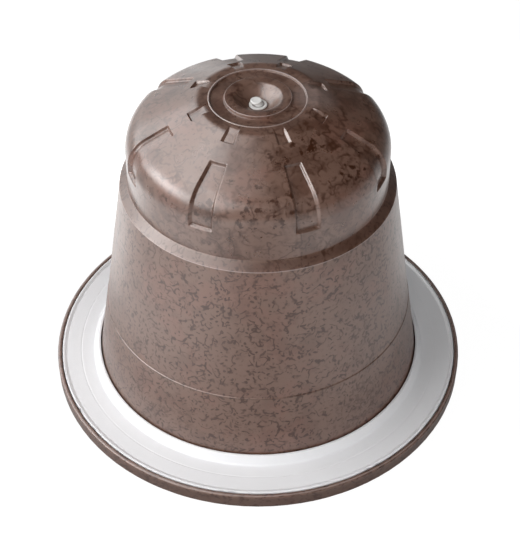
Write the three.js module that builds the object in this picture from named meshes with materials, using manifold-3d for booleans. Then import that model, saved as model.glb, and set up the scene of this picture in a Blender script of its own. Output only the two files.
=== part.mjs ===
// A single-serve coffee capsule, standing on its sealed flange with the dome up.
// Millimetres, +Z up, origin at the centre of the underside. Angles are in degrees.
// The front is -Y, and angles round the capsule are counted from there towards +X.

import * as THREE from 'three';
import { mergeVertices } from 'three/addons/utils/BufferGeometryUtils.js';
import Module from 'manifold-3d';

const wasm = await Module();
wasm.setup();

// Lid film, heat sealed under the flange
const LID_THICKNESS = 0.12;
const LID_MARGIN = 0.6; // how far the film stops short of the flange's edge
const LID_GAP = 0.1; // between the film's edge and the rim round it

// Flange: a thin plate with a raised rim round it
const FLANGE_RADIUS = 18.5;
const FLANGE_THICKNESS = 0.5;
const RIM_HEIGHT = 0.65; // above the plate
const RIM_WIDTH = 0.36;
const RIM_EDGE_ROUND = 0.1;

// Side wall of the cup, drawing in from the plate upwards
const FLANGE_WIDTH = 3.9; // from the wall's foot to the flange's edge
const LOWER_DRAW_IN = 1.16; // from the foot to the mould line
const MOULD_LINE_HEIGHT = 7.14; // above the plate
const MOULD_LINE_STEP = 0.09;
const UPPER_DRAW_IN = 1.95; // from the mould line to the ledge
const LEDGE_HEIGHT = 12.42; // above the mould line
const LEDGE_WIDTH = 0.7;
const LEDGE_RISE = 0.65;
const LEDGE_ROUND = 0.12;

// Dome
const DOME_HEIGHT = 7.5; // from the top of the ledge to the plateau
const DOME_WALL_LEAN = 0.04; // how much the wall draws in before the shoulder
const SHOULDER_RADIUS = 2.7;
const PLATEAU_RADIUS = 4.85;
const PLATEAU_EDGE_ROUND = 1.0;
const CONE_SLOPE = 25.8;

// Plateau: a sunk ring round a raised disc with a dimple in its middle
const SUNK_RING_RADIUS = 3.86;
const SUNK_RING_DEPTH = 0.13;
const DISC_RADIUS = 2.67;
const DISC_RISE = 0.24; // above the sunk ring
const DIMPLE_RADIUS = 1.85;
const DIMPLE_FLOOR_RADIUS = 0.9;
const DIMPLE_DEPTH = 0.85;
const DIMPLE_ROUND = 0.4;
const STEP_DRAFT = 0.05; // how far a step on the plateau leans

// Slots: long recesses over the shoulder, in pairs either side of the middle plane
const PATTERN_TURN = -1.7; // the moulding's middle plane, turned from the front
const FRONT_SLOT_ANGLES = [22.5, 67];
const BACK_SLOT_ANGLES = [120, 161.8];
const FRONT_SLOT_START = 0.415; // share of the cone's width, from the plateau's edge
const BACK_SLOT_START = 0.263;
const SLOT_HALF_ANGLE = 5.5;
const SLOT_DEPTH = 0.28;
const SLOT_FOOT_HEIGHT = 2.3; // above the top of the ledge
const SLOT_SIDE_RUN = 0.18; // how far a side leans over its depth
const SLOT_TOP_RUN = 0.18;
const SLOT_FOOT_RUN = 0.12;

// Notches: short recesses across the plateau's edge
const NOTCH_COUNT = 8;
const NOTCH_HALF_ANGLE = 5.8;
const NOTCH_DEPTH = 0.22;
const NOTCH_LENGTH = 1.0; // down the cone from the plateau's edge
const NOTCH_REACH = 0.6; // inward past the plateau's edge, where its floor runs out
const NOTCH_RUN = 0.14;

// White nub left by the moulding, on the dimple's floor
const NUB_BASE_RADIUS = 0.72;
const NUB_BASE_HEIGHT = 0.12;
const NUB_KNOB_RADIUS = 0.44;
const NUB_KNOB_HEIGHT = 0.34;
const NUB_EDGE_ROUND = 0.07;

// White sealing ring, lying on the plate inside the rim
const FIT_GAP = 0.1; // between the ring and the wall and rim beside it
const RING_THICKNESS = 0.58;
const BEAD_HEIGHT = 0.75; // above the ring's flat
const BEAD_CREST_WIDTH = 0.12;
const BEAD_WIDTH = 0.62;
const LIP_HEIGHT = 0.2; // above the ring's flat
const LIP_CREST_WIDTH = 0.26;
const LIP_SLOPE_WIDTH = 0.36;
const SCORE_INSET = 1.71; // thin line round the ring's flat, in from its outer edge
const SCORE_WIDTH = 0.16;
const SCORE_DEPTH = 0.05;

// Smoothness of the facets
const ROUND_STEPS = 96;
const NUB_STEPS = 32;
const SHOULDER_STEPS = 8;
const EDGE_STEPS = 2;
const CUT_ROWS = 10;
const CUT_COLUMNS = 3;
const CUT_LIFT = 0.5; // how far a cutter stands out of the surface that it cuts

// Radii that follow from the sizes, from the flange inwards
const footRadius = FLANGE_RADIUS - FLANGE_WIDTH;
const mouldLineRadius = footRadius - LOWER_DRAW_IN;
const ledgeRadius = mouldLineRadius - UPPER_DRAW_IN;
const domeFootRadius = ledgeRadius - LEDGE_WIDTH;
const wallTopRadius = domeFootRadius - DOME_WALL_LEAN;
const coneWidth = wallTopRadius - PLATEAU_RADIUS;

// Heights that follow from the sizes
const plateZ = LID_THICKNESS + FLANGE_THICKNESS;
const rimTopZ = plateZ + RIM_HEIGHT;
const mouldLineZ = plateZ + MOULD_LINE_HEIGHT;
const ledgeZ = mouldLineZ + LEDGE_HEIGHT;
const domeFootZ = ledgeZ + LEDGE_RISE;
const plateauZ = domeFootZ + DOME_HEIGHT;
const discZ = plateauZ - SUNK_RING_DEPTH + DISC_RISE;
const dimpleFloorZ = discZ - DIMPLE_DEPTH;
const ringFlatZ = plateZ + RING_THICKNESS;

const radians = THREE.MathUtils.degToRad;
const lerp = THREE.MathUtils.lerp;

// Points on an arc from one angle to another, ends included
function arc(centreR, centreZ, radius, fromAngle, toAngle, steps) {
  const points = [];
  for (let i = 0; i <= steps; i++) {
    const angle = radians(lerp(fromAngle, toAngle, i / steps));
    points.push([centreR + radius * Math.cos(angle), centreZ + radius * Math.sin(angle)]);
  }
  return points;
}

// The dome's outline in three runs: straight cone, round shoulder, nearly upright wall
const slope = radians(CONE_SLOPE);
const cornerZ = plateauZ - Math.tan(slope) * coneWidth;
const shoulderTurn = Math.PI / 2 - slope;
const shoulderCut = SHOULDER_RADIUS * Math.tan(shoulderTurn / 2);
const shoulderCentre = [wallTopRadius - SHOULDER_RADIUS, cornerZ - shoulderCut];
const coneLength = coneWidth / Math.cos(slope) - shoulderCut;
const shoulderLength = SHOULDER_RADIUS * shoulderTurn;

// The point at a distance along the outline from the plateau's edge, moved inside it by an inset
function domePoint(along, inset) {
  if (along <= coneLength) {
    return [
      PLATEAU_RADIUS + along * Math.cos(slope) - inset * Math.sin(slope),
      plateauZ - along * Math.sin(slope) - inset * Math.cos(slope),
    ];
  }
  const radius = SHOULDER_RADIUS - inset;
  const turned = Math.min((along - coneLength) / SHOULDER_RADIUS, shoulderTurn);
  const angle = Math.PI / 2 - slope - turned;
  const below = Math.max(along - coneLength - shoulderLength, 0);
  return [
    shoulderCentre[0] + radius * Math.cos(angle),
    shoulderCentre[1] + radius * Math.sin(angle) - below,
  ];
}

// How far along the outline a share of the cone's width lies, and the wall reaches a height
const alongAtShare = (share) => (share * coneWidth) / Math.cos(slope);
const alongAtHeight = (z) => coneLength + shoulderLength + shoulderCentre[1] - z;

// Radius of the side wall below the mould line
function wallRadius(z) {
  return lerp(footRadius, mouldLineRadius, (z - plateZ) / MOULD_LINE_HEIGHT);
}

// A closed solid of revolution from outline points [radius, z], listed from the bottom up
function revolve(outline, steps = ROUND_STEPS) {
  const points = outline.map(([r, z]) => new THREE.Vector2(r, z));
  const geometry = new THREE.LatheGeometry(points, steps);
  return geometry.rotateX(Math.PI / 2);
}

// Turns a geometry into a solid for cutting: shared corners merged, no empty triangles
function toSolid(geometry) {
  const bare = geometry.clone();
  bare.deleteAttribute('normal');
  bare.deleteAttribute('uv');
  const merged = mergeVertices(bare, 1e-5);
  const index = merged.index.array;
  const kept = [];
  for (let i = 0; i < index.length; i += 3) {
    const [a, b, c] = index.slice(i, i + 3);
    if (a !== b && b !== c && c !== a) kept.push(a, b, c);
  }
  const vertProperties = new Float32Array(merged.attributes.position.array);
  const triVerts = new Uint32Array(kept);
  return new wasm.Manifold(new wasm.Mesh({ numProp: 3, vertProperties, triVerts }));
}

// Turns a solid back into a geometry
function toGeometry(solid) {
  const { vertProperties, triVerts } = solid.getMesh();
  const geometry = new THREE.BufferGeometry();
  geometry.setAttribute('position', new THREE.BufferAttribute(vertProperties, 3));
  geometry.setIndex(new THREE.BufferAttribute(triVerts, 1));
  geometry.computeVertexNormals();
  return geometry;
}

// A cutter that follows the dome's outline: a bent block with two skins, floor and lift,
// whose sides and ends lean from the floor outwards
function bentBlock({ angle, halfAngle, start, end, depth, sideRun, startRun, endRun }) {
  const positions = [];
  for (const inset of [depth, -CUT_LIFT]) {
    const share = inset / depth;
    for (let row = 0; row <= CUT_ROWS; row++) {
      const along = lerp(start + startRun * share, end - endRun * share, row / CUT_ROWS);
      const [r, z] = domePoint(along, inset);
      const half = radians(halfAngle) - (sideRun * share) / r;
      for (let column = 0; column <= CUT_COLUMNS; column++) {
        const turn = radians(angle) + lerp(-half, half, column / CUT_COLUMNS);
        positions.push(r * Math.sin(turn), -r * Math.cos(turn), z);
      }
    }
  }
  const geometry = new THREE.BufferGeometry();
  geometry.setAttribute('position', new THREE.Float32BufferAttribute(positions, 3));
  geometry.setIndex(bentBlockFaces());
  return geometry;
}

// Triangles of a bent block: its floor, its outer skin, two sides and two ends
function bentBlockFaces() {
  const index = [];
  const last = CUT_COLUMNS;
  const width = last + 1;
  const skin = width * (CUT_ROWS + 1);
  const floor = (row, column) => row * width + column;
  const outer = (row, column) => skin + floor(row, column);
  const quad = (a, b, c, d) => index.push(a, b, c, a, c, d);
  for (let row = 0; row < CUT_ROWS; row++) {
    const next = row + 1;
    for (let column = 0; column < CUT_COLUMNS; column++) {
      const beside = column + 1;
      quad(floor(row, column), floor(row, beside), floor(next, beside), floor(next, column));
      quad(outer(row, column), outer(next, column), outer(next, beside), outer(row, beside));
    }
    quad(floor(row, 0), floor(next, 0), outer(next, 0), outer(row, 0));
    quad(floor(next, last), floor(row, last), outer(row, last), outer(next, last));
  }
  for (let column = 0; column < CUT_COLUMNS; column++) {
    const beside = column + 1;
    quad(floor(0, beside), floor(0, column), outer(0, column), outer(0, beside));
    quad(floor(CUT_ROWS, column), floor(CUT_ROWS, beside), outer(CUT_ROWS, beside), outer(CUT_ROWS, column));
  }
  return index;
}

// One slot either side of the middle plane for each angle
function slotCutters(pairAngles, startShare) {
  return pairAngles.flatMap((pairAngle) => [-pairAngle, pairAngle]).map((angle) => bentBlock({
    angle: PATTERN_TURN + angle,
    halfAngle: SLOT_HALF_ANGLE,
    start: alongAtShare(startShare),
    end: alongAtHeight(domeFootZ + SLOT_FOOT_HEIGHT),
    depth: SLOT_DEPTH,
    sideRun: SLOT_SIDE_RUN,
    startRun: SLOT_TOP_RUN,
    endRun: SLOT_FOOT_RUN,
  }));
}

// The notches, evenly spaced round the plateau's edge
function notchCutters() {
  const pitch = 360 / NOTCH_COUNT;
  return Array.from({ length: NOTCH_COUNT }, (_, i) => bentBlock({
    angle: PATTERN_TURN + pitch * (i + 0.5),
    halfAngle: NOTCH_HALF_ANGLE,
    start: -NOTCH_REACH,
    end: NOTCH_LENGTH,
    depth: NOTCH_DEPTH,
    sideRun: NOTCH_RUN,
    startRun: 0,
    endRun: NOTCH_RUN,
  }));
}

// The cup's outline, from the middle of its underside round the flange and up to the dimple
function cupOutline() {
  const rimInner = FLANGE_RADIUS - RIM_WIDTH;
  const aboveLine = mouldLineRadius - MOULD_LINE_STEP;
  const recessRadius = FLANGE_RADIUS - LID_MARGIN + LID_GAP;
  const outline = [
    [0, LID_THICKNESS],
    [recessRadius, LID_THICKNESS],
    [recessRadius, 0],
    [FLANGE_RADIUS, 0],
    ...arc(FLANGE_RADIUS - RIM_EDGE_ROUND, rimTopZ - RIM_EDGE_ROUND, RIM_EDGE_ROUND, 0, 90, EDGE_STEPS),
    [rimInner, rimTopZ],
    [rimInner, plateZ],
    [footRadius, plateZ],
    [mouldLineRadius, mouldLineZ],
    [aboveLine, mouldLineZ + MOULD_LINE_STEP],
    [ledgeRadius, ledgeZ - LEDGE_ROUND],
    [ledgeRadius - LEDGE_ROUND * 0.4, ledgeZ],
    [domeFootRadius, domeFootZ],
  ];
  const shoulder = Array.from({ length: SHOULDER_STEPS + 1 }, (_, i) =>
    domePoint(coneLength + (shoulderLength * (SHOULDER_STEPS - i)) / SHOULDER_STEPS, 0));
  outline.push(...shoulder, ...plateauOutline());
  return outline;
}

// The plateau's outline, from its edge to the middle of the dimple's floor
function plateauOutline() {
  const sunkZ = plateauZ - SUNK_RING_DEPTH;
  const rimCentreZ = discZ - DIMPLE_ROUND;
  const edgeRadius = PLATEAU_RADIUS - PLATEAU_EDGE_ROUND * Math.tan(slope / 2);
  return [
    ...arc(edgeRadius, plateauZ - PLATEAU_EDGE_ROUND, PLATEAU_EDGE_ROUND, 90 - CONE_SLOPE, 90, EDGE_STEPS),
    [SUNK_RING_RADIUS, plateauZ],
    [SUNK_RING_RADIUS - STEP_DRAFT, sunkZ],
    [DISC_RADIUS + STEP_DRAFT, sunkZ],
    [DISC_RADIUS, discZ],
    ...arc(DIMPLE_RADIUS, rimCentreZ, DIMPLE_ROUND, 90, 135, EDGE_STEPS),
    [DIMPLE_FLOOR_RADIUS, dimpleFloorZ],
    [0, dimpleFloorZ],
  ];
}

function makeCup() {
  let cup = toSolid(revolve(cupOutline()));
  const cutters = [
    ...slotCutters(FRONT_SLOT_ANGLES, FRONT_SLOT_START),
    ...slotCutters(BACK_SLOT_ANGLES, BACK_SLOT_START),
    ...notchCutters(),
  ];
  for (const cutter of cutters) {
    cup = cup.subtract(toSolid(cutter));
  }
  return toGeometry(cup);
}

// The ring follows the wall's lean on its inside and stands clear of the wall and the rim
function makeSealingRing() {
  const beadTopZ = ringFlatZ + BEAD_HEIGHT;
  const beadInner = wallRadius(beadTopZ) + FIT_GAP;
  const outer = FLANGE_RADIUS - RIM_WIDTH - FIT_GAP;
  const lipTopZ = ringFlatZ + LIP_HEIGHT;
  const lipInner = outer - LIP_CREST_WIDTH;
  const scoreRadius = outer - SCORE_INSET;
  const outline = [
    [footRadius + FIT_GAP, plateZ],
    [outer, plateZ],
    [outer, lipTopZ],
    [lipInner, lipTopZ],
    [lipInner - LIP_SLOPE_WIDTH, ringFlatZ],
    [scoreRadius + SCORE_WIDTH / 2, ringFlatZ],
    [scoreRadius, ringFlatZ - SCORE_DEPTH],
    [scoreRadius - SCORE_WIDTH / 2, ringFlatZ],
    [beadInner + BEAD_WIDTH, ringFlatZ],
    [beadInner + BEAD_WIDTH * 0.6, lerp(ringFlatZ, beadTopZ, 0.3)],
    [beadInner + BEAD_CREST_WIDTH, beadTopZ],
    [beadInner, beadTopZ],
    [footRadius + FIT_GAP, plateZ],
  ];
  return revolve(outline);
}

function makeLidFilm() {
  const radius = FLANGE_RADIUS - LID_MARGIN;
  return revolve([[0, 0], [radius, 0], [radius, LID_THICKNESS], [0, LID_THICKNESS]]);
}

function makeGateNub() {
  const stepZ = dimpleFloorZ + NUB_BASE_HEIGHT;
  const topZ = stepZ + NUB_KNOB_HEIGHT;
  const round = NUB_EDGE_ROUND;
  return revolve([
    [0, dimpleFloorZ],
    [NUB_BASE_RADIUS, dimpleFloorZ],
    [NUB_BASE_RADIUS, stepZ],
    [NUB_KNOB_RADIUS, stepZ],
    ...arc(NUB_KNOB_RADIUS - round, topZ - round, round, 0, 90, EDGE_STEPS),
    [0, topZ],
  ], NUB_STEPS);
}

function addPiece(group, name, geometry, color, roughness) {
  const material = new THREE.MeshStandardMaterial({ color, roughness, metalness: 0 });
  const mesh = new THREE.Mesh(geometry, material);
  mesh.name = name;
  group.add(mesh);
}

const capsule = new THREE.Group();
addPiece(capsule, 'cup', makeCup(), 0x654d43, 0.45);
addPiece(capsule, 'sealing_ring', makeSealingRing(), 0xe6e5e8, 0.4);
addPiece(capsule, 'gate_nub', makeGateNub(), 0xd9d6d2, 0.45);
addPiece(capsule, 'lid_film', makeLidFilm(), 0xd8d2c6, 0.7);

export default capsule;
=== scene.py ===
"""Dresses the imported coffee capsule: fine surfaces, moulded plastic finishes, studio light and camera."""

import math

import bpy
from bpy.props import FloatProperty, FloatVectorProperty, PointerProperty
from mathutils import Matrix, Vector, noise


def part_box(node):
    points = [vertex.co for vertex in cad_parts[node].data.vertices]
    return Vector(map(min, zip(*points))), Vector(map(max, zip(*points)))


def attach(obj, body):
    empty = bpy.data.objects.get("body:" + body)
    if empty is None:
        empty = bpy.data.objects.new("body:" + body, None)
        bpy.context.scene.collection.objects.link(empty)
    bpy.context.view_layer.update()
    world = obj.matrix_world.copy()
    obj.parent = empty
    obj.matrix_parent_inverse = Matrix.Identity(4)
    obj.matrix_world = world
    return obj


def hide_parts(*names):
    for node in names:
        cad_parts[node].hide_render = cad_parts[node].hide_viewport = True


bl_info = {
    "name": "Coffee Capsule",
    "version": (1, 0, 0),
    "blender": (4, 5, 0),
    "location": "3D Viewport > Sidebar > Capsule",
    "description": "Builds a flanged single-serve coffee capsule in mixed brown and white plastic",
    "category": "Object",
}

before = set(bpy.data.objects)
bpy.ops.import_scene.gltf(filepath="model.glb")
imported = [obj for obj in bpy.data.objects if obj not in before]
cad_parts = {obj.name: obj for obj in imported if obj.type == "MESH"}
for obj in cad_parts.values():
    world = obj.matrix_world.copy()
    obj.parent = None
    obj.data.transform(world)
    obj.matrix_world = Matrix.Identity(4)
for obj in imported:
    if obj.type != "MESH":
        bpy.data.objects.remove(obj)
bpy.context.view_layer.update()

# Sizes are in millimetres, heights are from the surface that the capsule stands on,
# and angles are in degrees, counted from the front towards the right
MM = 0.001
CUP_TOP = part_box("cup")[1].z / MM
FLANGE_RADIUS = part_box("cup")[1].x / MM
LID_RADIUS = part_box("lid_film")[1].x / MM
LID_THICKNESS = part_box("lid_film")[1].z / MM
NUB_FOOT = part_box("gate_nub")[0].z / MM
NUB_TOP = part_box("gate_nub")[1].z / MM
PLATE_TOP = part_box("sealing_ring")[0].z / MM

# Cup
FIT_GAP = 0.1  # round the film and the sealing ring
RIM_TOP = 1.27
RIM_INNER_RADIUS = 18.14
FOOT_RADIUS = 14.6
MOULD_LINE = (13.44, 7.76)
MOULD_LINE_STEP = 0.06
LEDGE_LOWER = (11.49, 20.18)
LEDGE_UPPER = (10.79, 20.83)
WALL_TOP_RADIUS = 10.75
SHOULDER_RADIUS = 2.7
CONE_SLOPE = 25.8
PLATEAU = (4.85, 28.33)
PLATEAU_ROUNDING = 1.0
SUNK_RING_RADIUS = 3.86
SUNK_RING_DEPTH = 0.13
SUNK_RING_BEAD = 0.035  # how far the sunk ring's edge stands up
DISC_RADIUS = 2.67
DIMPLE_RADIUS = 2.0
DIMPLE_FLOOR_RADIUS = 0.72
DIMPLE_DEPTH = CUP_TOP - NUB_FOOT
CONE_RISE = math.tan(math.radians(CONE_SLOPE))

# Recesses in the dome
PATTERN_TURN = -1.7
SLOT_PAIRS = ((22.5, 7.3), (67, 7.3), (120, 6.4), (161.8, 6.4))  # angle, radius of the inner end
SLOT_DEPTH = 0.28
SLOT_HALF_ANGLE = 5.5
SLOT_SIDE_ANGLE = 1.1
SLOT_TOP_RUN = 0.18
SLOT_FOOT = 23.13
SLOT_FOOT_RUN = 0.12
NOTCH_COUNT = 8
NOTCH_DEPTH = 0.22
NOTCH_HALF_ANGLE = 5.8
NOTCH_SIDE_ANGLE = 1.9
NOTCH_END_RADIUS = 5.74
NOTCH_START_RADIUS = 4.4
NOTCH_END_RUN = 0.1

# Sealing ring
RING_FLAT = 1.2
BEAD_TOP = 1.95
BEAD_CREST_WIDTH = 0.22
BEAD_SHOULDER = (0.4, 0.35)  # out from the bead's inside, down from its top
BEAD_WIDTH = 0.62
LIP_TOP = 1.32
LIP_RADIUS = 18.09
LIP_PLAY = 0.03  # room for the ragged edge to wander outwards
LIP_CREST_WIDTH = 0.2
LIP_WIDTH = 0.42
SCORE_RADIUS = 16.33
SCORE_HALF_WIDTH = 0.1
SCORE_DEPTH = 0.012
RAGGED_REACH = 0.3  # how far in from the lip's edge it is ragged
LIP_NICK_DEPTH = 5  # times the lip's raggedness
LIP_NICKS = ((-60.5, 1.2), (-52, 0.8), (-9.5, 1.0), (-6.5, 1.6), (31, 1.2), (34, 1.0))  # angle, half width

# Nub
NUB_BASE_RADIUS = 0.72
NUB_BASE_THICKNESS = 0.12
NUB_KNOB_RADIUS = 0.46
NUB_KNOB_OFFSET = (-0.16, 0.1)
NUB_NECK_RADII = (NUB_KNOB_RADIUS * 0.86, NUB_KNOB_RADIUS * 0.9)
NUB_NECK_HEIGHT = 0.1
NUB_HOLLOW_RADIUS = NUB_KNOB_RADIUS * 0.62
NUB_HOLLOW_DEPTH = 0.05

# Camera, fitted to the photograph's round edges
CAMERA_PLACE = (0, -83.84, 88.30)
CAMERA_PITCH = 43.583
FOCAL_PIXELS = 1298.24
PRINCIPAL_COLUMN = 258.09
IMAGE_SIZE = (520, 560)
SENSOR = 36


# Meshes

def arc_corner(before, corner, after, radius, steps):
    """Points that round a corner of an outline, with a support point on the flat to each side."""
    corner = Vector(corner[:2])
    to_before = (Vector(before[:2]) - corner).normalized()
    to_after = (Vector(after[:2]) - corner).normalized()
    half = to_before.angle(to_after) / 2
    reach = radius / math.tan(half)
    centre = corner + (to_before + to_after).normalized() * radius / math.sin(half)
    start = corner + to_before * reach - centre
    turn = math.pi - 2 * half
    side = 1 if to_before.x * to_after.y - to_before.y * to_after.x < 0 else -1
    points = [corner + to_before * reach * 1.35]
    for step in range(steps + 1):
        angle = side * turn * step / steps
        points.append(centre + Vector((
            start.x * math.cos(angle) - start.y * math.sin(angle),
            start.x * math.sin(angle) + start.y * math.cos(angle),
        )))
    points.append(corner + to_after * reach * 1.35)
    return [tuple(point) for point in points]


def rounded(corners, steps=3, closed=False):
    """Turns corners (radius, height, rounding) into an outline; a rounding of 0 or none keeps a corner."""
    outline = []
    count = len(corners)
    for index, corner in enumerate(corners):
        rounding = corner[2] if len(corner) > 2 else 0
        if rounding and (closed or 0 < index < count - 1):
            after = corners[(index + 1) % count]
            outline += arc_corner(corners[index - 1], corner, after, rounding, steps)
        else:
            outline.append(tuple(corner[:2]))
    return outline


def with_rows(outline, radii=(), heights=()):
    """Adds a point wherever the outline passes one of the radii or heights."""
    result = [outline[0]]
    for start, end in zip(outline, outline[1:]):
        shares = []
        for axis, values in ((0, radii), (1, heights)):
            span = end[axis] - start[axis]
            shares += [(value - start[axis]) / span for value in values if abs(span) > 1e-6]
        for share in sorted(share for share in shares if 0.02 < share < 0.98):
            result.append((start[0] + (end[0] - start[0]) * share, start[1] + (end[1] - start[1]) * share))
        result.append(end)
    return result


def revolved(name, outline, angles, closed=False, place=None):
    """A mesh object turned from an outline, listed from the bottom up; place may move each point."""
    vertices, faces, rows = [], [], []
    for radius, height in outline:
        if radius < 1e-6:
            rows.append([len(vertices)] * len(angles))
            vertices.append((0, 0, height * MM))
            continue
        rows.append(range(len(vertices), len(vertices) + len(angles)))
        for angle in angles:
            r, z = place(angle, radius, height) if place else (radius, height)
            turn = math.radians(angle)
            vertices.append((r * math.sin(turn) * MM, -r * math.cos(turn) * MM, z * MM))
    pairs = list(zip(rows, rows[1:])) + ([(rows[-1], rows[0])] if closed else [])
    for low, high in pairs:
        for column in range(len(angles)):
            beside = (column + 1) % len(angles)
            corners = (low[column], low[beside], high[beside], high[column])
            faces.append(tuple(dict.fromkeys(corners)))
    mesh = bpy.data.meshes.new(name)
    mesh.from_pydata(vertices, [], faces)
    mesh.shade_smooth()
    piece = bpy.data.objects.new(name, mesh)
    bpy.context.scene.collection.objects.link(piece)
    return piece


def even_angles(count):
    """Angles of evenly spaced mesh lines."""
    return [360 * index / count for index in range(count)]


def finish_piece(piece, node):
    """Says which body a piece rides on and hides the node that it replaces."""
    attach(piece, "root")
    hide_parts(node)


# Node trees

class Graph:
    """Adds nodes to a tree by short calls, so that a formula stays readable."""

    def __init__(self, tree):
        self.tree = tree

    def put(self, socket, value):
        """Links an output to a socket, or sets the socket to a plain value."""
        if isinstance(value, bpy.types.NodeSocket):
            self.tree.links.new(value, socket)
        else:
            socket.default_value = value

    def add(self, kind, inputs=None, out=0, **settings):
        """A new node's output, with its settings and inputs filled in."""
        node = self.tree.nodes.new(kind)
        for name, value in settings.items():
            setattr(node, name, value)
        for key, value in (inputs or {}).items():
            self.put(node.inputs[key], value)
        return node.outputs[out]

    def math(self, operation, *values, clamp=False):
        return self.add("ShaderNodeMath", dict(enumerate(values)), operation=operation, use_clamp=clamp)

    def vector(self, operation, *values):
        return self.add("ShaderNodeVectorMath", dict(enumerate(values)), operation=operation)

    def length(self, value):
        return self.add("ShaderNodeVectorMath", {0: value}, out="Value", operation="LENGTH")

    def dot(self, a, b):
        return self.add("ShaderNodeVectorMath", {0: a, 1: b}, out="Value", operation="DOT_PRODUCT")

    def scaled(self, value, factor):
        return self.add("ShaderNodeVectorMath", {0: value, "Scale": factor}, operation="SCALE")

    def ramp(self, value, low, high, start=0.0, end=1.0):
        """Goes smoothly from start to end while the value goes from low to high."""
        inputs = {"Value": value, "From Min": low, "From Max": high, "To Min": start, "To Max": end}
        return self.add("ShaderNodeMapRange", inputs, interpolation_type="SMOOTHSTEP")

    def noise(self, vector, scale, detail=2.0, roughness=0.5, out=0):
        inputs = {"Vector": vector, "Scale": scale, "Detail": detail, "Roughness": roughness}
        return self.add("ShaderNodeTexNoise", inputs, out=out)

    def mix(self, factor, a, b):
        """Mixes two colours; sockets 6 and 7 and output 2 are the node's colour ones."""
        inputs = {0: factor, 6: a, 7: b}
        return self.add("ShaderNodeMix", inputs, out=2, data_type="RGBA", blend_type="MIX")


def node_group(name, kind, inputs, outputs):
    """A new node group; inputs and outputs are name -> (socket kind, default)."""
    tree = bpy.data.node_groups.new(name, kind)
    for direction, sockets in (("INPUT", inputs), ("OUTPUT", outputs)):
        for label, (socket_kind, default) in sockets.items():
            kind_name = "NodeSocket" + socket_kind
            socket = tree.interface.new_socket(label, in_out=direction, socket_type=kind_name)
            if default is not None:
                socket.default_value = default
    entry = tree.nodes.new("NodeGroupInput")
    leaving = tree.nodes.new("NodeGroupOutput")
    return tree, Graph(tree), entry.outputs, leaving.inputs


MASK = {"Mask": ("Float", 0.0)}  # the output of each kind of mark


def fibre_flecks():
    """Short curved dark strokes and dots, one in each cell of space, cut by the surface."""
    inputs = {
        "Vector": ("Vector", None),
        "Spacing": ("Float", 0.6),
        "Length": ("Float", 0.8),
        "Width": ("Float", 0.06),
        "Curl": ("Float", 0.3),
    }
    tree, g, given, result = node_group("Fibre flecks", "ShaderNodeTree", inputs, MASK)
    wander = g.vector("SUBTRACT", g.noise(given["Vector"], 1.3, 1.0, out=1), (0.5, 0.5, 0.5))
    place = g.vector("ADD", given["Vector"], g.scaled(wander, given["Curl"]))
    cell = tree.nodes.new("ShaderNodeTexVoronoi")
    g.put(cell.inputs["Vector"], place)
    g.put(cell.inputs["Scale"], g.math("DIVIDE", 1.0, given["Spacing"]))
    from_centre = g.vector("SUBTRACT", place, cell.outputs["Position"])
    lie = g.vector("NORMALIZE", g.vector("SUBTRACT", cell.outputs["Color"], (0.5, 0.5, 0.5)))
    half = g.math("MULTIPLY", given["Length"], 0.5)
    back_end = g.math("MULTIPLY", half, -1.0)
    along = g.math("MINIMUM", g.math("MAXIMUM", g.dot(from_centre, lie), back_end), half)
    beside = g.length(g.vector("SUBTRACT", from_centre, g.scaled(lie, along)))
    stroke = g.ramp(beside, g.math("MULTIPLY", given["Width"], 0.4), given["Width"], 1.0, 0.0)
    strength = g.add("ShaderNodeTexWhiteNoise", {"Vector": cell.outputs["Position"]})
    g.put(result["Mask"], g.math("MULTIPLY", stroke, g.ramp(strength, 0.1, 0.9, 0.25, 1.0)))
    return tree


def fibre_curls():
    """Thin curled strokes: short stretches of the level lines of a slow noise."""
    inputs = {
        "Vector": ("Vector", None),
        "Scale": ("Float", 1.0),
        "Detail": ("Float", 1.0),
        "Width": ("Float", 0.03),
        "Amount": ("Float", 0.5),
    }
    tree, g, given, result = node_group("Fibre curls", "ShaderNodeTree", inputs, MASK)
    field = g.noise(given["Vector"], given["Scale"], given["Detail"])
    away = g.math("ABSOLUTE", g.math("SUBTRACT", field, 0.5))
    stroke = g.ramp(away, 0.0, given["Width"], 1.0, 0.0)
    shifted = g.vector("ADD", given["Vector"], (17.3, 41.9, 8.6))  # breaks differ from the lines
    parts = g.noise(shifted, g.math("MULTIPLY", given["Scale"], 1.9), 1.0)
    level = g.math("SUBTRACT", 1.0, given["Amount"])
    present = g.ramp(parts, g.math("SUBTRACT", level, 0.03), g.math("ADD", level, 0.08))
    g.put(result["Mask"], g.math("MULTIPLY", stroke, present))
    return tree


def smudges():
    """Soft-edged blotches with ragged outlines."""
    inputs = {
        "Vector": ("Vector", None),
        "Scale": ("Float", 0.5),
        "Amount": ("Float", 0.5),
        "Softness": ("Float", 0.1),
    }
    tree, g, given, result = node_group("Smudges", "ShaderNodeTree", inputs, MASK)
    field = g.noise(given["Vector"], given["Scale"], 4.0, 0.6)
    level = g.math("SUBTRACT", 1.0, given["Amount"])
    low = g.math("SUBTRACT", level, given["Softness"])
    g.put(result["Mask"], g.ramp(field, low, g.math("ADD", level, given["Softness"])))
    return tree


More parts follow.
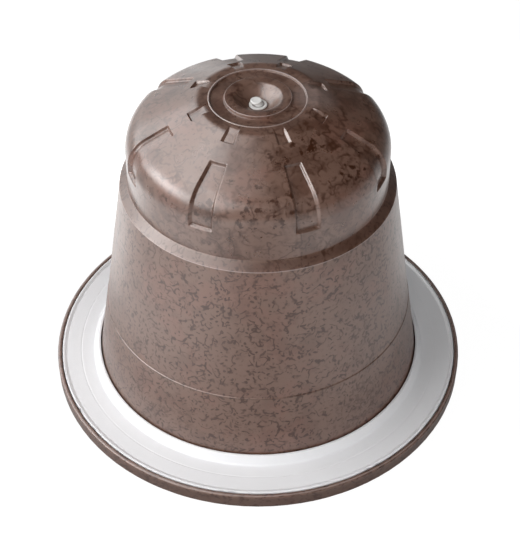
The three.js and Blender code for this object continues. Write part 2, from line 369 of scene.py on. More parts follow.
def moulded_unevenness():
    """Height of a moulded surface: slow waves and a fine grain."""
    inputs = {
        "Vector": ("Vector", None),
        "Wave scale": ("Float", 0.4),
        "Wave height": ("Float", 0.02),
        "Grain scale": ("Float", 6.0),
        "Grain height": ("Float", 0.002),
    }
    outputs = {"Height": ("Float", 0.0)}
    tree, g, given, result = node_group("Moulded unevenness", "ShaderNodeTree", inputs, outputs)
    wave = g.math("MULTIPLY", g.noise(given["Vector"], given["Wave scale"], 2.0), given["Wave height"])
    grain = g.math("MULTIPLY", g.noise(given["Vector"], given["Grain scale"], 3.0), given["Grain height"])
    g.put(result["Height"], g.math("ADD", wave, grain))
    return tree


def new_material(name):
    """A material, its graph, its Principled BSDF's inputs and a vector in millimetres."""
    material = bpy.data.materials.new(name)
    material.use_nodes = True
    g = Graph(material.node_tree)
    shader = material.node_tree.nodes["Principled BSDF"]
    place = g.add("ShaderNodeTexCoord", out="Object")
    millimetres = g.scaled(place, 1 / MM)
    return material, g, shader.inputs, millimetres


def use_group(g, tree, inputs):
    """The first output of a shared node group."""
    node = g.tree.nodes.new("ShaderNodeGroup")
    node.node_tree = tree
    for key, value in inputs.items():
        g.put(node.inputs[key], value)
    return node.outputs[0]


def bumped(g, height):
    """A normal bent by a height in millimetres."""
    return g.add("ShaderNodeBump", {"Strength": 1.0, "Distance": MM, "Height": height})


def colour4(colour):
    """A colour with full alpha."""
    return (*colour, 1.0)


def on_cup(angle, radius, height):
    """A place on the cup, in millimetres."""
    turn = math.radians(angle)
    return (radius * math.sin(turn), -radius * math.cos(turn), height)


# Brown plastic looks: strengths of each kind of mark, places where dark spots gather with
# their reach, paler patches, bands of painted shade round the cup, and the surface's own evenness
WALL_LOOK = {
    "flecks": 0.95, "curls": 0.95, "curl scale": 0.95, "curl amount": 0.485, "blotches": 0.2, "red": 0.35,
    "spots": 0.5, "veins": 0.0,
    "patches": (
        (on_cup(-33, 14.1, 3.5), 3.5), (on_cup(-10, 14.2, 2.5), 3.5), (on_cup(38, 14.1, 3.5), 5.0),
        (on_cup(2, 11.1, 20.5), 4.0), (on_cup(50, 11.1, 20.5), 4.0),
    ),
    "pale patches": (),
    # Painted shade: low round the rim's outer face by the floor, at the cup's foot by the sealing ring, in
    # the ledge's corner under the dome, and a thin line under the mould line's step
    "painted shade bands": (
        (FLANGE_RADIUS, 0.5, 0.45), (FOOT_RADIUS, PLATE_TOP, 0.9), (11.1, 20.5, 0.3),
        (MOULD_LINE[0], MOULD_LINE[1] - 0.03, 0.03),
    ),
    "roughness": 0.36, "wave height": 0.012, "grain height": 0.0012,
}
DOME_LOOK = {
    "flecks": 0.5, "curls": 0.5, "curl scale": 0.7, "curl amount": 0.5, "blotches": 0.42, "red": 0.35,
    "spots": 1.0, "veins": 0.75,
    "patches": (
        (on_cup(-4, 10.3, 25.1), 2.3), (on_cup(10, 10.2, 25.2), 2.2), (on_cup(-22, 10.5, 24.6), 1.6),
        (on_cup(38, 6.6, 27.4), 1.9), (on_cup(14, 6.8, 27.3), 1.8), (on_cup(48, 9.9, 25.6), 2.0),
    ),
    "pale patches": ((on_cup(95, 4.5, 28.3), 2.4),),
    "painted shade bands": (),
    "roughness": 0.29, "wave height": 0.034, "grain height": 0.0008,
}

# Each kind of mark in the brown plastic, as the inputs of its node group
RED_PATCHES = {"Scale": 0.22, "Amount": 0.44, "Softness": 0.07}
BLOTCHES = {"Scale": 0.42, "Amount": 0.45, "Softness": 0.05}
FLECKS = {"Spacing": 0.5, "Length": 0.6, "Width": 0.135, "Curl": 0.6}
CURLS = {"Width": 0.048}
VEINS = {"Scale": 0.33, "Detail": 3.5, "Width": 0.024, "Amount": 0.54}
SPOTS = {"Scale": 1.8, "Softness": 0.04}
SPOT_AMOUNT = 0.335
GATHERED_SPOT_AMOUNT = 0.11  # more of them in a patch
PALE_PATCH_STRENGTH = 0.24
# How strong the painted highlight along raised edges is
EDGE_HIGHLIGHT_STRENGTH = 0.45
# How strong the bands of painted shade are
PAINTED_SHADE_STRENGTH = 0.5
ROUGHNESS_SPREAD = 0.1
SECOND_SET = (31.7, 12.3, 5.1)  # moves the pattern, so that a second set of marks differs from the first

# Circles along raised edges that a painted highlight makes paler: radius, height and half width
WALL_HIGHLIGHT_EDGES = ((LEDGE_LOWER[0], LEDGE_LOWER[1], 0.03), (FLANGE_RADIUS - 0.15, RIM_TOP, 0.05))
DOME_HIGHLIGHT_EDGES = ((SUNK_RING_RADIUS + 0.04, PLATEAU[1], 0.055), (DISC_RADIUS, CUP_TOP, 0.03))


def near_places(g, mm, patches):
    """1 in the middle of the nearest patch, falling to 0 at its reach."""
    nearest = 0.0
    for place, reach in patches:
        away = g.length(g.vector("SUBTRACT", mm, place))
        nearest = g.math("MAXIMUM", nearest, g.ramp(away, reach * 0.35, reach, 1.0, 0.0))
    return nearest


def near_circles(g, mm, circles):
    """1 on the nearest circle round the axis, falling to 0 at twice its half width."""
    if not circles:
        return 0.0
    split = g.tree.nodes.new("ShaderNodeSeparateXYZ")
    g.put(split.inputs[0], mm)
    flat = g.length(g.vector("MULTIPLY", mm, (1, 1, 0)))
    nearest = 0.0
    for radius, height, half in circles:
        across = g.math("SUBTRACT", flat, radius)
        up = g.math("SUBTRACT", split.outputs["Z"], height)
        away = g.length(g.add("ShaderNodeCombineXYZ", {0: across, 1: up}))
        nearest = g.math("MAXIMUM", nearest, g.ramp(away, half * 0.6, half * 2, 1.0, 0.0))
    return nearest


def brown_plastic(name, look, edges, colours):
    """Brown plastic filled with plant fibre."""
    material, g, shader, mm = new_material(name)
    groups = bpy.data.node_groups
    flecks, curls, blots = groups["Fibre flecks"], groups["Fibre curls"], groups["Smudges"]
    base, dark, red = colour4(colours.base), colour4(colours.fibre), colour4(colours.red)
    shifted = g.vector("ADD", mm, SECOND_SET)

    def marked(colour, mask, strength, mark=dark):
        """The colour with a kind of mark laid over it."""
        return g.mix(g.math("MULTIPLY", mask, strength), colour, mark)

    reddish = use_group(g, blots, {"Vector": mm, **RED_PATCHES})
    colour = marked(base, reddish, look["red"], red)
    blotch = use_group(g, blots, {"Vector": mm, **BLOTCHES})
    colour = marked(colour, blotch, look["blotches"])
    fine = use_group(g, flecks, {"Vector": mm, **FLECKS})
    colour = marked(colour, fine, look["flecks"])
    for place in (mm, shifted):
        curl = use_group(g, curls, {
            "Vector": place, "Scale": look["curl scale"], "Amount": look["curl amount"], **CURLS,
        })
        colour = marked(colour, curl, look["curls"])
    if look["veins"]:
        vein = use_group(g, curls, {"Vector": shifted, **VEINS})
        colour = marked(colour, vein, look["veins"])
    gathered = near_places(g, mm, look["patches"])
    amount = g.math("ADD", SPOT_AMOUNT, g.math("MULTIPLY", gathered, GATHERED_SPOT_AMOUNT))
    spots = use_group(g, blots, {"Vector": shifted, "Amount": amount, **SPOTS})
    colour = marked(colour, spots, look["spots"])
    # Colour of the painted highlights along raised edges, also used for the pale patches
    pale_and_highlight = colour4(colours.pale_and_highlight)
    colour = marked(colour, near_places(g, mm, look["pale patches"]), PALE_PATCH_STRENGTH, pale_and_highlight)
    # Painted highlight: a paler line along raised edges, in place of the glint on their rounding
    colour = marked(colour, near_circles(g, mm, edges), EDGE_HIGHLIGHT_STRENGTH, pale_and_highlight)
    # Painted shade: darker bands by the floor, at the cup's foot, in the ledge's corner and under the mould
    # line's step
    colour = marked(colour, near_circles(g, mm, look["painted shade bands"]), PAINTED_SHADE_STRENGTH)
    g.put(shader["Base Color"], colour)
    spread = g.math("MULTIPLY", g.noise(mm, 0.8, 3.0), ROUGHNESS_SPREAD)
    rough = g.math("ADD", look["roughness"] - ROUGHNESS_SPREAD / 2, spread)
    g.put(shader["Roughness"], rough)
    shader["Specular IOR Level"].default_value = 1.0
    uneven = bpy.data.node_groups["Moulded unevenness"]
    height = use_group(g, uneven, {
        "Vector": mm, "Wave scale": 0.55, "Wave height": look["wave height"],
        "Grain scale": 5.0, "Grain height": look["grain height"],
    })
    g.put(shader["Normal"], bumped(g, height))
    return material


def pale_plastic(name, colour, roughness, shade, shaded_grooves=()):
    """Plain white plastic with a slight unevenness, and painted shade in its round grooves."""
    material, g, shader, mm = new_material(name)
    blots = bpy.data.node_groups["Smudges"]
    mask = use_group(g, blots, {"Vector": mm, "Scale": 0.35, "Amount": 0.5, "Softness": 0.3})
    darker = colour4([channel * (1 - shade) for channel in colour])
    plain = g.mix(mask, colour4(colour), darker)
    # Painted shade: a dark line in the round grooves, where shadow falls
    painted_shade = (0.08, 0.055, 0.05, 1)
    g.put(shader["Base Color"], g.mix(near_circles(g, mm, shaded_grooves), plain, painted_shade))
    g.put(shader["Roughness"], g.math("ADD", roughness, g.math("MULTIPLY", mask, 0.06)))
    uneven = bpy.data.node_groups["Moulded unevenness"]
    height = use_group(g, uneven, {
        "Vector": mm, "Wave scale": 0.5, "Wave height": 0.006, "Grain scale": 4.0, "Grain height": 0.0006,
    })
    g.put(shader["Normal"], bumped(g, height))
    return material


# Sizes and colours that a user may change

class CapsuleCup(bpy.types.PropertyGroup):
    slot_depth: FloatProperty(
        name="Slot depth", description="How deep the long recesses over the shoulder are",
        default=SLOT_DEPTH * MM, min=0, unit="LENGTH", precision=5)
    notch_depth: FloatProperty(
        name="Notch depth", description="How deep the short recesses at the plateau's edge are",
        default=NOTCH_DEPTH * MM, min=0, unit="LENGTH", precision=5)
    base: FloatVectorProperty(
        name="Plastic", description="Colour of the brown plastic between its marks",
        default=(0.142, 0.079, 0.057), min=0, max=1, subtype="COLOR")
    fibre: FloatVectorProperty(
        name="Fibre", description="Colour of the dark plant fibres in the plastic",
        default=(0.038, 0.010, 0.002), min=0, max=1, subtype="COLOR")
    red: FloatVectorProperty(
        name="Red patches", description="Colour of the faint reddish patches",
        default=(0.175, 0.074, 0.052), min=0, max=1, subtype="COLOR")
    # Colour of the painted highlights on raised edges, and of the pale patches
    pale_and_highlight: FloatVectorProperty(
        name="Edge highlights and pale patches", description="Colour of the painted highlights on raised edges, and of the pale patches",
        default=(0.42, 0.34, 0.32), min=0, max=1, subtype="COLOR")


class CapsuleTrim(bpy.types.PropertyGroup):
    ring: FloatVectorProperty(
        name="Ring", description="Colour of the sealing ring",
        default=(0.80, 0.80, 0.815), min=0, max=1, subtype="COLOR")
    nub: FloatVectorProperty(
        name="Nub", description="Colour of the nub in the dimple",
        default=(0.76, 0.75, 0.73), min=0, max=1, subtype="COLOR")
    film: FloatVectorProperty(
        name="Film", description="Colour of the sealing film under the flange",
        default=(0.62, 0.58, 0.50), min=0, max=1, subtype="COLOR")
    raggedness: FloatProperty(
        name="Lip raggedness", description="How far the ring's lip wanders at its outer edge",
        default=0.03 * MM, min=0, unit="LENGTH", precision=5)


class CapsuleStage(bpy.types.PropertyGroup):
    key_power: FloatProperty(
        name="Key power", description="Power of the soft light from the left",
        default=1.4, min=0, unit="POWER")
    fill_power: FloatProperty(
        name="Fill power", description="Power of the soft light from the front",
        default=1.1, min=0, unit="POWER")
    gloss_power: FloatProperty(
        name="Gloss power", description="Power of the wide softbox that the gloss shows",
        default=4.0, min=0, unit="POWER")
    surroundings: FloatProperty(
        name="Surroundings", description="Brightness of the studio round the capsule",
        default=0.22, min=0)


# Operators

class CAPSULE_OT_groups(bpy.types.Operator):
    """Make the node groups that the finishes share"""
    bl_idname = "capsule.groups"
    bl_label = "Finish Groups"

    def execute(self, context):
        fibre_flecks()
        fibre_curls()
        smudges()
        moulded_unevenness()
        return {"FINISHED"}


def edge_angles(centre, half, side):
    """Angles of the mesh lines at both edges of a recess: close together where its sides bend."""
    steps = (0.7, 0.22, 0, -side / 2, -side, -side - 0.22, -side - 0.8)
    return [centre + sign * (half + step) for step in steps for sign in (-1, 1)]


def cup_angles():
    """Angles of all the cup's mesh lines, in order round the cup."""
    angles = even_angles(96)
    for pair, _ in SLOT_PAIRS:
        for sign in (-1, 1):
            angles += edge_angles(PATTERN_TURN + sign * pair, SLOT_HALF_ANGLE, SLOT_SIDE_ANGLE)
    pitch = 360 / NOTCH_COUNT
    for index in range(NOTCH_COUNT):
        centre = PATTERN_TURN + pitch * (index + 0.5)
        angles += edge_angles(centre, NOTCH_HALF_ANGLE, NOTCH_SIDE_ANGLE)
    ordered = sorted(angle % 360 for angle in angles)
    kept = [ordered[0]]
    for angle in ordered[1:]:
        if angle - kept[-1] > 0.1:
            kept.append(angle)
    return kept


def dome_outline():
    """The dome from its foot on the ledge up to the plateau's edge, with lines where recesses bend."""
    plateau_radius, plateau_top = PLATEAU
    corner_height = plateau_top - CONE_RISE * (WALL_TOP_RADIUS - plateau_radius)
    outline = rounded([
        (*LEDGE_UPPER, 0),
        (WALL_TOP_RADIUS, corner_height, SHOULDER_RADIUS),
        (plateau_radius + 0.4, plateau_top - 0.4 * CONE_RISE, 0),
    ], steps=18)
    beside = 0.06
    radii = [5.4, 5.55, NOTCH_END_RADIUS + beside]
    radii += [NOTCH_END_RADIUS - NOTCH_END_RUN * share for share in (0, 0.5, 1, 1.6)]
    for inner in sorted({radius for _, radius in SLOT_PAIRS}):
        radii += [inner - 0.05, inner, inner + beside, inner + 0.5 * SLOT_TOP_RUN]
        radii += [inner + SLOT_TOP_RUN, inner + SLOT_TOP_RUN + beside]
    foot_end = SLOT_FOOT + SLOT_FOOT_RUN
    heights = [21.0, 21.6, 22.3, SLOT_FOOT - beside, SLOT_FOOT, foot_end, foot_end + beside]
    return with_rows(outline, radii, heights)[1:]


def cup_outline():
    """The whole cup from the middle of its underside to the middle of the dimple's floor."""
    recess = LID_RADIUS + FIT_GAP
    line_radius, line_height = MOULD_LINE
    plateau_radius, plateau_top = PLATEAU
    sunk = plateau_top - SUNK_RING_DEPTH
    lower = rounded([
        (0, LID_THICKNESS),
        (recess, LID_THICKNESS, 0.03),
        (recess, 0, 0.03),
        (FLANGE_RADIUS, 0, 0.06),
        (FLANGE_RADIUS, RIM_TOP, 0.12),
        (RIM_INNER_RADIUS, RIM_TOP, 0.06),
        (RIM_INNER_RADIUS, PLATE_TOP, 0.03),
        (FOOT_RADIUS, PLATE_TOP, 0.05),
        (line_radius, line_height, 0.02),
        (line_radius - MOULD_LINE_STEP, line_height + MOULD_LINE_STEP, 0.03),
        (*LEDGE_LOWER, 0.09),
        (*LEDGE_UPPER, 0.05),
        (WALL_TOP_RADIUS, 25.0),
    ])[:-1]
    upper = rounded([
        (plateau_radius + 0.7, plateau_top - 0.7 * CONE_RISE, 0),
        (plateau_radius, plateau_top, PLATEAU_ROUNDING),
        (SUNK_RING_RADIUS + 0.13, plateau_top, 0.03),
        (SUNK_RING_RADIUS + 0.06, plateau_top + SUNK_RING_BEAD, 0.03),
        (SUNK_RING_RADIUS, plateau_top + SUNK_RING_BEAD, 0.03),
        (SUNK_RING_RADIUS - 0.06, sunk, 0.03),
        (DISC_RADIUS + 0.08, sunk, 0.03),
        (DISC_RADIUS, CUP_TOP, 0.04),
        (DIMPLE_RADIUS, CUP_TOP, 0),
    ])[1:]
    lower_rows = [PLATE_TOP + (line_height - PLATE_TOP) * share / 6 for share in range(1, 6)]
    upper_rows = [11, 14, 17]
    plateau_rows = (NOTCH_START_RADIUS, 4.5)
    return [
        *with_rows(lower, heights=lower_rows + upper_rows),
        *dome_outline(),
        *with_rows(upper, plateau_rows),
        *dimple_outline(),
    ]


def dimple_outline():
    """A smooth bowl from the disc down to a small flat floor."""
    points = []
    steps = 14
    for step in range(1, steps + 1):
        share = step / steps
        drop = (1 - math.cos(math.pi * share ** 0.85)) / 2
        radius = DIMPLE_RADIUS + (DIMPLE_FLOOR_RADIUS - DIMPLE_RADIUS) * share
        points.append((radius, CUP_TOP - DIMPLE_DEPTH * drop))
    return points + [(DIMPLE_FLOOR_RADIUS * 0.5, NUB_FOOT), (0, NUB_FOOT)]


def recess_tree():
    """Sinks the slots and notches into the plain dome."""
    lengths = {
        "Slot depth": SLOT_DEPTH, "Slot top run": SLOT_TOP_RUN,
        "Slot foot": SLOT_FOOT, "Slot foot run": SLOT_FOOT_RUN,
        "Notch depth": NOTCH_DEPTH, "Notch start": NOTCH_START_RADIUS, "Notch edge": PLATEAU[0],
        "Notch end": NOTCH_END_RADIUS, "Notch end run": NOTCH_END_RUN,
    }
    angles = {
        "Pattern turn": PATTERN_TURN, "Slot half angle": SLOT_HALF_ANGLE, "Slot side angle": SLOT_SIDE_ANGLE,
        "Notch half angle": NOTCH_HALF_ANGLE, "Notch side angle": NOTCH_SIDE_ANGLE,
        "Notch pitch": 360 / NOTCH_COUNT,
    }
    for index, (pair, inner) in enumerate(SLOT_PAIRS, 1):
        angles[f"Pair {index} angle"] = pair
        lengths[f"Pair {index} inner radius"] = inner
    inputs = {"Geometry": ("Geometry", None)}
    inputs.update({label: ("Float", value * MM) for label, value in lengths.items()})
    inputs.update({label: ("Float", math.radians(value)) for label, value in angles.items()})
    inputs["Ledge height"] = ("Float", LEDGE_UPPER[1] * MM)
    inputs["Dome material"] = ("Material", None)
    inputs["Wall material"] = ("Material", None)
    outputs = {"Geometry": ("Geometry", None)}
    tree, g, given, result = node_group("Dome recesses", "GeometryNodeTree", inputs, outputs)

    place = g.add("GeometryNodeInputPosition")
    split = tree.nodes.new("ShaderNodeSeparateXYZ")
    g.put(split.inputs[0], place)
    x, y, z = split.outputs
    radius = g.math("SQRT", g.math("ADD", g.math("MULTIPLY", x, x), g.math("MULTIPLY", y, y)))
    angle = g.math("ARCTAN2", x, g.math("MULTIPLY", y, -1.0))
    turned = g.math("SUBTRACT", angle, given["Pattern turn"])
    wrapped = g.math("WRAP", turned, math.pi, -math.pi)
    folded = g.math("ABSOLUTE", wrapped)
    on_dome = g.math("GREATER_THAN", z, given["Ledge height"])

    def band(distance, half, side):
        """1 inside a recess, falling to 0 over its side."""
        return g.math("DIVIDE", g.math("SUBTRACT", half, distance), side, clamp=True)

    slots = 0.0
    for index in range(1, len(SLOT_PAIRS) + 1):
        aside = g.math("ABSOLUTE", g.math("SUBTRACT", folded, given[f"Pair {index} angle"]))
        sides = band(aside, given["Slot half angle"], given["Slot side angle"])
        past = g.math("SUBTRACT", radius, given[f"Pair {index} inner radius"])
        top = g.math("DIVIDE", past, given["Slot top run"], clamp=True)
        slots = g.math("MAXIMUM", slots, g.math("MINIMUM", sides, top))
    above = g.math("SUBTRACT", z, given["Slot foot"])
    foot = g.math("DIVIDE", above, given["Slot foot run"], clamp=True)
    slots = g.math("MULTIPLY", g.math("MINIMUM", slots, foot), on_dome)

    pitch = given["Notch pitch"]
    apart = g.math("SUBTRACT", g.math("FLOORED_MODULO", turned, pitch), g.math("MULTIPLY", pitch, 0.5))
    sides = band(g.math("ABSOLUTE", apart), given["Notch half angle"], given["Notch side angle"])
    end = band(radius, given["Notch end"], given["Notch end run"])
    run_out = g.math("SUBTRACT", given["Notch edge"], given["Notch start"])
    start = g.math("DIVIDE", g.math("SUBTRACT", radius, given["Notch start"]), run_out, clamp=True)
    notches = g.math("MULTIPLY", g.math("MINIMUM", g.math("MINIMUM", sides, end), start), on_dome)

    normal = g.add("GeometryNodeInputNormal")
    slot_sink = g.scaled(normal, g.math("MULTIPLY", g.math("MULTIPLY", slots, given["Slot depth"]), -1.0))
    drop = g.math("MULTIPLY", g.math("MULTIPLY", notches, given["Notch depth"]), -1.0)
    notch_sink = g.add("ShaderNodeCombineXYZ", {2: drop})
    moved = g.add("GeometryNodeSetPosition", {
        "Geometry": given["Geometry"], "Offset": g.vector("ADD", slot_sink, notch_sink),
    })
    real = g.add("GeometryNodeRealizeInstances", {0: moved})
    walls = g.add("GeometryNodeSetMaterial", {"Geometry": real, "Material": given["Wall material"]})
    dome = g.add("GeometryNodeSetMaterial", {
        "Geometry": walls, "Selection": on_dome, "Material": given["Dome material"],
    })
    g.put(result["Geometry"], dome)
    return tree


def with_nodes_applied(piece, tree, values):
    """Runs a geometry node tree on a piece and makes its result the piece's plain mesh."""
    modifier = piece.modifiers.new(tree.name, "NODES")
    modifier.node_group = tree
    sockets = {item.name: item.identifier for item in tree.interface.items_tree if item.in_out == "INPUT"}
    for name, value in values.items():
        modifier[sockets[name]] = value
    graph = bpy.context.evaluated_depsgraph_get()
    plain = bpy.data.meshes.new_from_object(piece.evaluated_get(graph))
    piece.modifiers.remove(modifier)
    piece.data = plain


class CAPSULE_OT_cup(bpy.types.Operator):
    """Make the brown cup with its slots and notches"""
    bl_idname = "capsule.cup"
    bl_label = "Cup"

    def execute(self, context):
        settings = context.scene.capsule_cup
        cup = revolved("capsule_cup", cup_outline(), cup_angles())
        with_nodes_applied(cup, recess_tree(), {
            "Slot depth": settings.slot_depth,
            "Notch depth": settings.notch_depth,
            "Wall material": brown_plastic("Fibre plastic wall", WALL_LOOK, WALL_HIGHLIGHT_EDGES, settings),
            "Dome material": brown_plastic("Fibre plastic dome", DOME_LOOK, DOME_HIGHLIGHT_EDGES, settings),
        })
        finish_piece(cup, "cup")
        return {"FINISHED"}


class CAPSULE_OT_ring(bpy.types.Operator):
    """Make the white sealing ring on the flange"""
    bl_idname = "capsule.ring"
    bl_label = "Sealing Ring"

    def execute(self, context):
        settings = context.scene.capsule_trim
        lean = (FOOT_RADIUS - MOULD_LINE[0]) / (MOULD_LINE[1] - PLATE_TOP)
        bead_radius = FOOT_RADIUS - lean * (BEAD_TOP - PLATE_TOP) + FIT_GAP
        lip_outside = LIP_RADIUS - LIP_PLAY
        corners = [
            (FOOT_RADIUS + FIT_GAP, PLATE_TOP, 0.03),
            (lip_outside, PLATE_TOP, 0.03),
            (lip_outside, LIP_TOP, 0.05),
            (LIP_RADIUS - LIP_CREST_WIDTH, LIP_TOP, 0.05),
            (LIP_RADIUS - LIP_WIDTH, RING_FLAT, 0.15),
            (SCORE_RADIUS + SCORE_HALF_WIDTH, RING_FLAT, 0.03),
            (SCORE_RADIUS, RING_FLAT - SCORE_DEPTH, 0.03),
            (SCORE_RADIUS - SCORE_HALF_WIDTH, RING_FLAT, 0.03),
            (bead_radius + BEAD_WIDTH, RING_FLAT, 0.2),
            (bead_radius + BEAD_SHOULDER[0], BEAD_TOP - BEAD_SHOULDER[1], 0.2),
            (bead_radius + BEAD_CREST_WIDTH, BEAD_TOP, 0.1),
            (bead_radius, BEAD_TOP, 0.05),
        ]
        outline = rounded(corners, closed=True)
        wander = settings.raggedness / MM

        def place(angle, radius, height):
            """Makes the lip's outer edge ragged, with a few nicks."""
            if radius < LIP_RADIUS - RAGGED_REACH or height < PLATE_TOP + 0.2:
                return radius, height
            turn = math.radians(angle)
            spot = Vector((math.sin(turn), math.cos(turn), 0))
            ragged = noise.noise(spot * 25) * 0.6 + noise.noise(spot * 90) * 0.4
            share = (radius - LIP_RADIUS + RAGGED_REACH) / RAGGED_REACH
            for centre, half in LIP_NICKS:
                away = abs((angle - centre + 180) % 360 - 180) / half
                ragged -= LIP_NICK_DEPTH * max(0, 1 - away)
            return radius + wander * ragged * share, height + wander * ragged * 0.5

        ring = revolved("capsule_sealing_ring", outline, even_angles(480), closed=True, place=place)
        material = pale_plastic("Ring plastic", settings.ring, roughness=0.38, shade=0.03)
        ring.data.materials.append(material)
        finish_piece(ring, "sealing_ring")
        return {"FINISHED"}


class CAPSULE_OT_nub(bpy.types.Operator):
    """Make the small white nub on the dimple's floor"""
    bl_idname = "capsule.nub"
    bl_label = "Gate Nub"

    def execute(self, context):
        settings = context.scene.capsule_trim
        step = NUB_FOOT + NUB_BASE_THICKNESS
        outline = rounded([
            (0, NUB_FOOT),
            (NUB_BASE_RADIUS, NUB_FOOT, 0.02),
            (NUB_BASE_RADIUS, step, 0.04),
            (NUB_NECK_RADII[0], step, 0.03),
            (NUB_NECK_RADII[1], step + NUB_NECK_HEIGHT, 0.03),
            (NUB_KNOB_RADIUS, step + NUB_NECK_HEIGHT + 0.06, 0.03),
            (NUB_KNOB_RADIUS, NUB_TOP, 0.08),
            (NUB_HOLLOW_RADIUS, NUB_TOP - 0.03, 0.03),
            (0, NUB_TOP - NUB_HOLLOW_DEPTH),
        ])
        nub = revolved("capsule_gate_nub", outline, even_angles(72))
        for vertex in nub.data.vertices:
            rise = min(max((vertex.co.z / MM - step) / NUB_NECK_HEIGHT, 0), 1)
            vertex.co.x += NUB_KNOB_OFFSET[0] * MM * rise
            vertex.co.y += NUB_KNOB_OFFSET[1] * MM * rise
        # Painted shade: a dark ring in the neck between the knob and its base, where the knob's shadow falls
        neck_shade = (NUB_KNOB_RADIUS, step + NUB_NECK_HEIGHT / 2, 0.05)
        material = pale_plastic("Nub plastic", settings.nub, roughness=0.4, shade=0.1, shaded_grooves=[neck_shade])
        nub.data.materials.append(material)
        finish_piece(nub, "gate_nub")
        return {"FINISHED"}


class CAPSULE_OT_film(bpy.types.Operator):
    """Make the sealing film under the flange"""
    bl_idname = "capsule.film"
    bl_label = "Lid Film"

    def execute(self, context):
        settings = context.scene.capsule_trim
        outline = rounded([
            (0, 0), (LID_RADIUS, 0, 0.03), (LID_RADIUS, LID_THICKNESS, 0.03), (0, LID_THICKNESS),
        ])
        rows = [LID_RADIUS * share / 8 for share in range(1, 8)]
        film = revolved("capsule_lid_film", with_rows(outline, rows), even_angles(144))
        material = pale_plastic("Lid film", settings.film, roughness=0.55, shade=0.1)
        film.data.materials.append(material)
        finish_piece(film, "lid_film")
        return {"FINISHED"}


def look_from(direction_angle, elevation, distance):
    """A place round the capsule: direction counted from the front towards the right."""
    turn, rise = math.radians(direction_angle), math.radians(elevation)
    flat = distance * math.cos(rise)
    return Vector((flat * math.sin(turn), -flat * math.cos(turn), distance * math.sin(rise)))


def area_light(name, place, target, size, power):
    """A rectangular lamp that points at its target."""
    lamp = bpy.data.lights.new(name, "AREA")
    lamp.shape = "RECTANGLE"
    lamp.size, lamp.size_y = size
    lamp.energy = power
    holder = bpy.data.objects.new(name, lamp)
    holder.location = place
    holder.rotation_euler = (target - place).to_track_quat("-Z", "Y").to_euler()
    bpy.context.scene.collection.objects.link(holder)
    return holder


# Floor: how much of what the camera or the gloss meets there is light instead of matte floor
CAMERA_SHARE = 0.94
GLOSS_SHARE = 0.6
CAMERA_STRENGTH = 1.04


def floor_material():
    """A pale floor that is white to the camera with a faint shadow, and shows painted pools of light and a
    painted shadow round the capsule in gloss.
    """
    material = bpy.data.materials.new("Studio floor")
    material.use_nodes = True
    nodes = material.node_tree.nodes
    nodes.clear()
    g = Graph(material.node_tree)
    matte = g.add("ShaderNodeBsdfDiffuse", {"Color": (0.85, 0.85, 0.86, 1)})
    rays = nodes.new("ShaderNodeLightPath")
    seen = g.math("MAXIMUM", rays.outputs["Is Camera Ray"], rays.outputs["Is Transmission Ray"])
    place = g.add("ShaderNodeTexCoord", out="Object")
    split = nodes.new("ShaderNodeSeparateXYZ")
    g.put(split.inputs[0], place)
    x, y, _ = split.outputs
    # Painted light in gloss, with places in metres: highest a little to the left of the capsule,
    # lower in front of it and to the right
    left = g.math("SUBTRACT", g.ramp(x, -0.035, 0.0, 2.4, 0.37), g.ramp(x, -0.06, -0.026, 1.5, 0.0))
    right = g.math("SUBTRACT", g.ramp(x, 0.004, 0.022, 0.0, 0.75), g.ramp(x, 0.026, 0.05, 0.0, 0.5))
    # Painted light half as bright again behind the capsule, dim further back, and a painted shadow close
    # round its foot
    far_back = g.math("MULTIPLY", g.ramp(y, 0.02, 0.1), g.ramp(x, -0.03, 0.0, 0.2, 0.95))
    behind = g.math("MULTIPLY", g.ramp(y, 0.001, 0.011, 1.0, 1.5), g.math("SUBTRACT", 1.0, far_back))
    # Painted shadow on the floor close round the capsule's foot, seen in gloss
    painted_foot_shadow = g.ramp(g.length(place), 0.018, 0.027, 0.3, 1.0)
    painted_gloss_light = g.math("MULTIPLY", g.math("ADD", left, right), g.math("MULTIPLY", behind, painted_foot_shadow))
    strength = g.math("MAXIMUM", g.math("MULTIPLY", seen, CAMERA_STRENGTH), painted_gloss_light)
    white = g.add("ShaderNodeEmission", {"Color": (1, 1, 1, 1), "Strength": strength})
    gloss_share = g.math("MULTIPLY", rays.outputs["Is Glossy Ray"], GLOSS_SHARE)
    share = g.math("MAXIMUM", g.math("MULTIPLY", seen, CAMERA_SHARE), gloss_share)
    surface = g.add("ShaderNodeMixShader", {0: share, 1: matte, 2: white})
    g.put(nodes.new("ShaderNodeOutputMaterial").inputs["Surface"], surface)
    return material


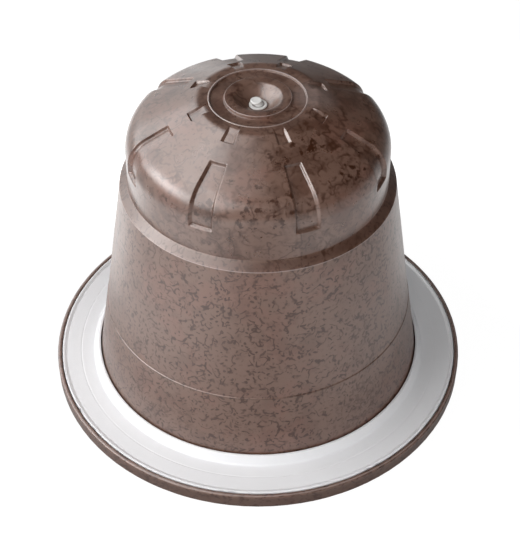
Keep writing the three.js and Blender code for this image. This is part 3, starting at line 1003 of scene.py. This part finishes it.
class CAPSULE_OT_stage(bpy.types.Operator):
    """Set up the floor, the soft studio light and the camera"""
    bl_idname = "capsule.stage"
    bl_label = "Studio Stage"

    def execute(self, context):
        settings = context.scene.capsule_stage
        self.make_floor()
        self.make_world(settings.surroundings)
        # Places of lamps are an angle, an elevation and a distance in metres; sizes are in metres
        middle = Vector((0, 0, 15 * MM))
        lamps = (
            ("Key", look_from(-75, 40, 0.38), (0.4, 0.3), settings.key_power),
            ("Fill", look_from(15, 35, 0.45), (0.4, 0.3), settings.fill_power),
        )
        for name, place, size, power in lamps:
            area_light(name, place, middle, size, power).visible_glossy = False
        softboxes = (
            ("Left softbox", look_from(-86, 42, 0.38), (0.90, 0.45), settings.gloss_power),
            ("Left strip", look_from(-82, 27, 0.32), (0.20, 0.09), settings.gloss_power * 0.08),
            ("Top softbox", look_from(-95, 73, 0.42), (0.25, 0.25), settings.gloss_power * 0.06),
        )
        for name, place, size, power in softboxes:
            area_light(name, place, middle, size, power).visible_diffuse = False
        self.make_camera(context.scene)
        context.scene.view_settings.view_transform = "Standard"
        return {"FINISHED"}

    def make_floor(self):
        """A wide square under the capsule, which belongs to the stage only."""
        mesh = bpy.data.meshes.new("studio_floor")
        half = 1.5
        corners = [(-half, -half, 0), (half, -half, 0), (half, half, 0), (-half, half, 0)]
        mesh.from_pydata(corners, [], [(0, 1, 2, 3)])
        mesh.materials.append(floor_material())
        floor = bpy.data.objects.new("studio_floor", mesh)
        bpy.context.scene.collection.objects.link(floor)

    def make_world(self, brightness):
        """White to the camera; elsewhere dimmer to the right and back, bright low behind at the left."""
        world = bpy.data.worlds.new("Studio")
        bpy.context.scene.world = world
        world.use_nodes = True
        g = Graph(world.node_tree)
        direction = g.add("ShaderNodeTexCoord", out="Generated")

        def near(angle, elevation, *ramp):
            """A ramp over the cosine of the angle between the ray and a direction."""
            return g.ramp(g.dot(direction, tuple(look_from(angle, elevation, 1))), *ramp)

        right_shade = near(70, 45, 0.2, 0.75, 1.0, 0.3)
        back_shade = near(180, 30, 0.3, 0.8, 1.0, 0.15)
        back_left = near(-152, 3, 0.8, 0.98, 0.0, 6.0)
        shade = g.math("ADD", g.math("MULTIPLY", right_shade, back_shade), back_left)
        level = g.math("MULTIPLY", shade, brightness)
        rays = world.node_tree.nodes.new("ShaderNodeLightPath")
        strength = g.math("MAXIMUM", level, rays.outputs["Is Camera Ray"])
        background = world.node_tree.nodes["Background"]
        background.inputs["Color"].default_value = (1, 1, 1, 1)
        g.put(background.inputs["Strength"], strength)

    def make_camera(self, scene):
        """The photograph's camera."""
        data = bpy.data.cameras.new("Camera")
        longest = max(IMAGE_SIZE)
        data.sensor_width = SENSOR
        data.lens = FOCAL_PIXELS * SENSOR / longest
        data.shift_x = (IMAGE_SIZE[0] / 2 - PRINCIPAL_COLUMN) / longest
        data.clip_start = MM
        data.clip_end = 10
        camera = bpy.data.objects.new("Camera", data)
        camera.location = Vector(CAMERA_PLACE) * MM
        camera.rotation_euler = (math.radians(90 - CAMERA_PITCH), 0, 0)
        scene.collection.objects.link(camera)
        scene.camera = camera


class CAPSULE_PT_panel(bpy.types.Panel):
    """The capsule's sizes, colours and steps"""
    bl_idname = "CAPSULE_PT_panel"
    bl_label = "Coffee Capsule"
    bl_space_type = "VIEW_3D"
    bl_region_type = "UI"
    bl_category = "Capsule"

    def draw(self, context):
        layout = self.layout
        scene = context.scene
        for settings in (scene.capsule_cup, scene.capsule_trim, scene.capsule_stage):
            for name in type(settings).__annotations__:
                layout.prop(settings, name)
        for operator in OPERATORS:
            layout.operator(operator.bl_idname)


OPERATORS = (
    CAPSULE_OT_groups, CAPSULE_OT_cup, CAPSULE_OT_ring, CAPSULE_OT_nub, CAPSULE_OT_film, CAPSULE_OT_stage,
)
CLASSES = (CapsuleCup, CapsuleTrim, CapsuleStage, *OPERATORS, CAPSULE_PT_panel)


def register():
    for item in CLASSES:
        bpy.utils.register_class(item)
    bpy.types.Scene.capsule_cup = PointerProperty(type=CapsuleCup)
    bpy.types.Scene.capsule_trim = PointerProperty(type=CapsuleTrim)
    bpy.types.Scene.capsule_stage = PointerProperty(type=CapsuleStage)


def unregister():
    del bpy.types.Scene.capsule_stage
    del bpy.types.Scene.capsule_trim
    del bpy.types.Scene.capsule_cup
    for item in reversed(CLASSES):
        bpy.utils.unregister_class(item)


def main():
    """Builds everything once."""
    register()
    bpy.ops.capsule.groups()
    bpy.ops.capsule.cup()
    bpy.ops.capsule.ring()
    bpy.ops.capsule.nub()
    bpy.ops.capsule.film()
    bpy.ops.capsule.stage()


if __name__ == "__main__":
    main()
